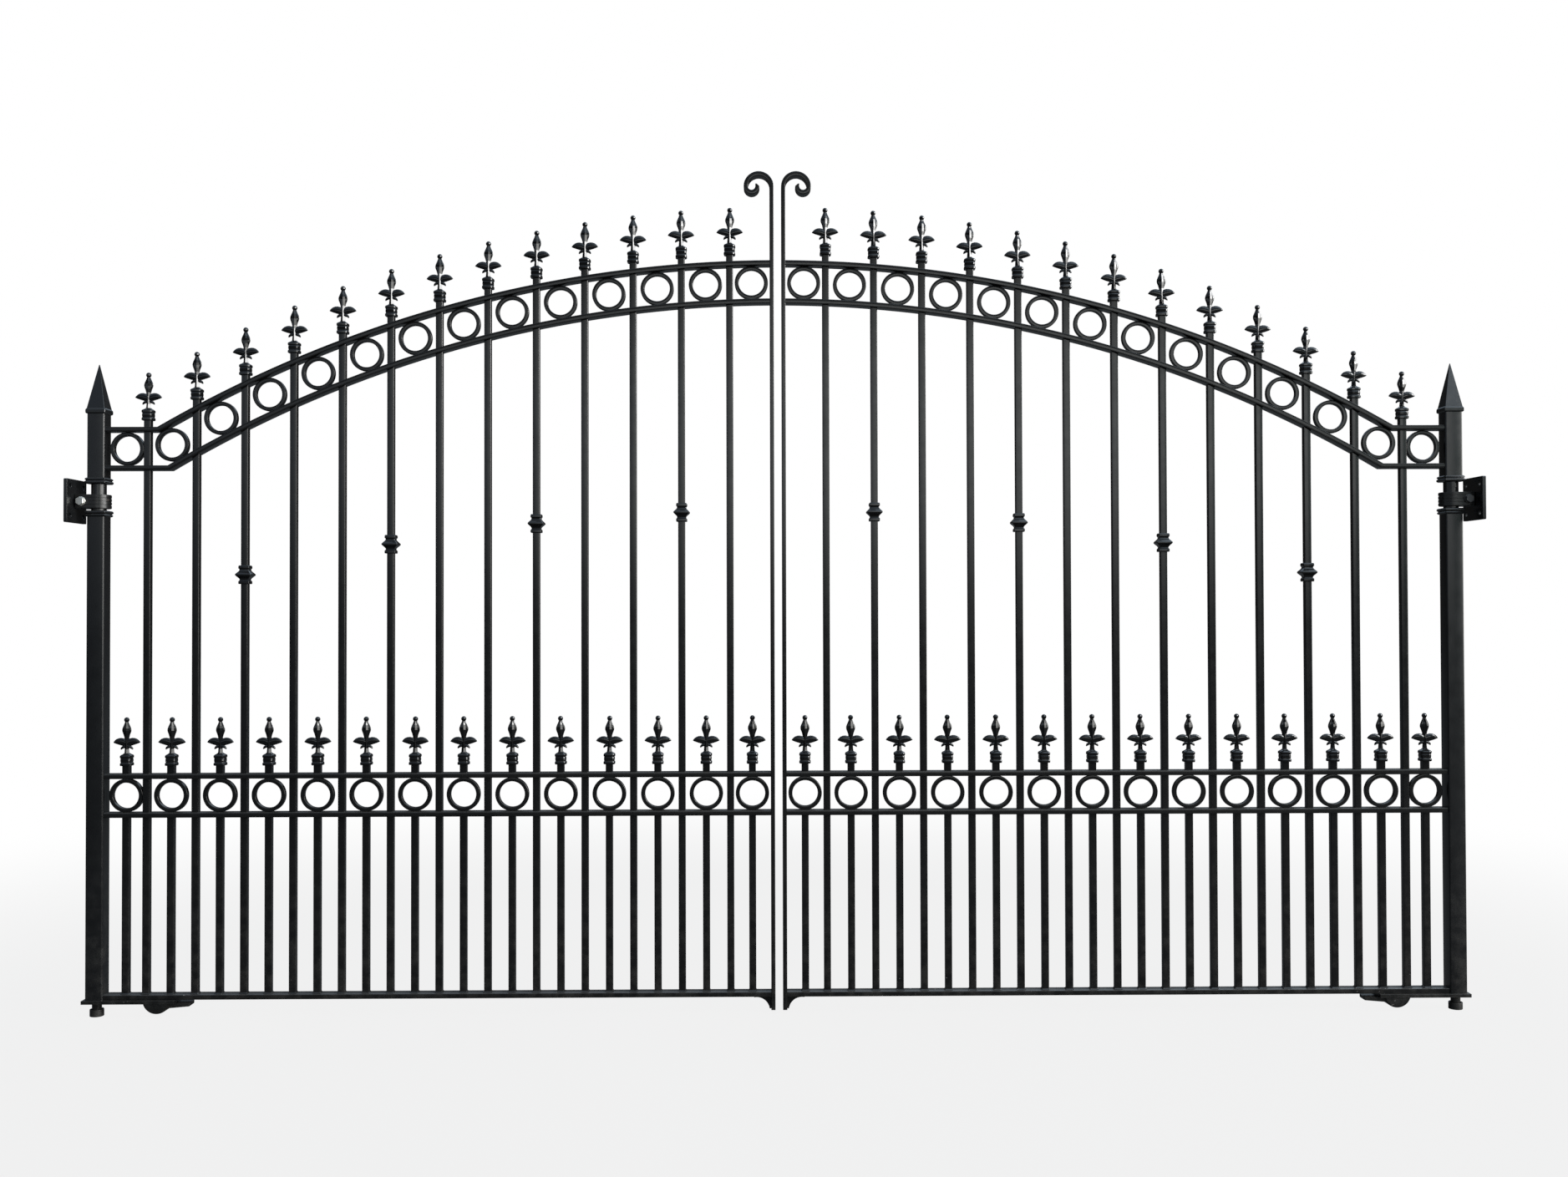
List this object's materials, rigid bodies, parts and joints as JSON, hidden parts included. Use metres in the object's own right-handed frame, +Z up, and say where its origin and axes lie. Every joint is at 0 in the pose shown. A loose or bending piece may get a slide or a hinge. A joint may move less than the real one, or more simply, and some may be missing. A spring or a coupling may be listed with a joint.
{
  "type": "arched double-leaf driveway gate",
  "caption": "Arched black iron driveway gate whose leaves of square bars, ring bands and spear finials swing on heel posts held by wall hinges and ground pivots.",
  "frame": {"origin": "on the ground at the left swing axis, at the centre of the underside of the left pivot seat", "axes": "+X along the closed gate from the left leaf to the right leaf, +Y into the yard, the way both leaves open, +Z up"},
  "size_m": [4.073, 0.132, 2.4444],
  "materials": {
    "black_paint": "semi-gloss",
    "cast_paint": "gloss over rough casting",
    "worn_paint": "worn satin with bare edges",
    "zinc": "bright zinc plate",
    "cast_seat": "dirty cast iron"
  },
  "bodies": {
    "fixed_ironwork": {"left_pivot_seat": "cast_seat", "left_hinge_plate": "worn_paint", "left_hinge_strap": "worn_paint", "left_hinge_bolt": "zinc", "right_pivot_seat": "cast_seat", "right_hinge_plate": "worn_paint", "right_hinge_strap": "worn_paint", "right_hinge_bolt": "zinc"},
    "left_leaf": {"left_heel_post": "black_paint", "left_post_cap": "black_paint", "left_top_rail": "black_paint", "left_lower_arch_rail": "black_paint", "left_upper_mid_rail": "black_paint", "left_lower_mid_rail": "black_paint", "left_bottom_rail": "black_paint", "left_meeting_stile": "black_paint", "left_stop_foot": "black_paint", "left_long_bars": "black_paint", "left_dog_bars": "black_paint", "left_arch_rings": "black_paint", "left_mid_rings": "black_paint", "left_bar_finials": "cast_paint", "left_dog_finials": "cast_paint", "left_bushes": "cast_paint", "left_pivot_arm": "worn_paint", "left_release_housing": "worn_paint"},
    "right_leaf": {"right_heel_post": "black_paint", "right_post_cap": "black_paint", "right_top_rail": "black_paint", "right_lower_arch_rail": "black_paint", "right_upper_mid_rail": "black_paint", "right_lower_mid_rail": "black_paint", "right_bottom_rail": "black_paint", "right_meeting_stile": "black_paint", "right_stop_foot": "black_paint", "right_long_bars": "black_paint", "right_dog_bars": "black_paint", "right_arch_rings": "black_paint", "right_mid_rings": "black_paint", "right_bar_finials": "cast_paint", "right_dog_finials": "cast_paint", "right_bushes": "cast_paint", "right_pivot_arm": "worn_paint", "right_release_housing": "worn_paint"}
  },
  "joints": [
    {"name": "left_leaf_swing", "type": "hinge", "parent": "fixed_ironwork", "child": "left_leaf", "pos_m": [0, 0, 0], "axis": [0, 0, 1], "range_deg": [0, 90]},
    {"name": "right_leaf_swing", "type": "hinge", "parent": "fixed_ironwork", "child": "right_leaf", "pos_m": [3.941, 0, 0], "axis": [0, 0, -1], "range_deg": [0, 90]}
  ]
}
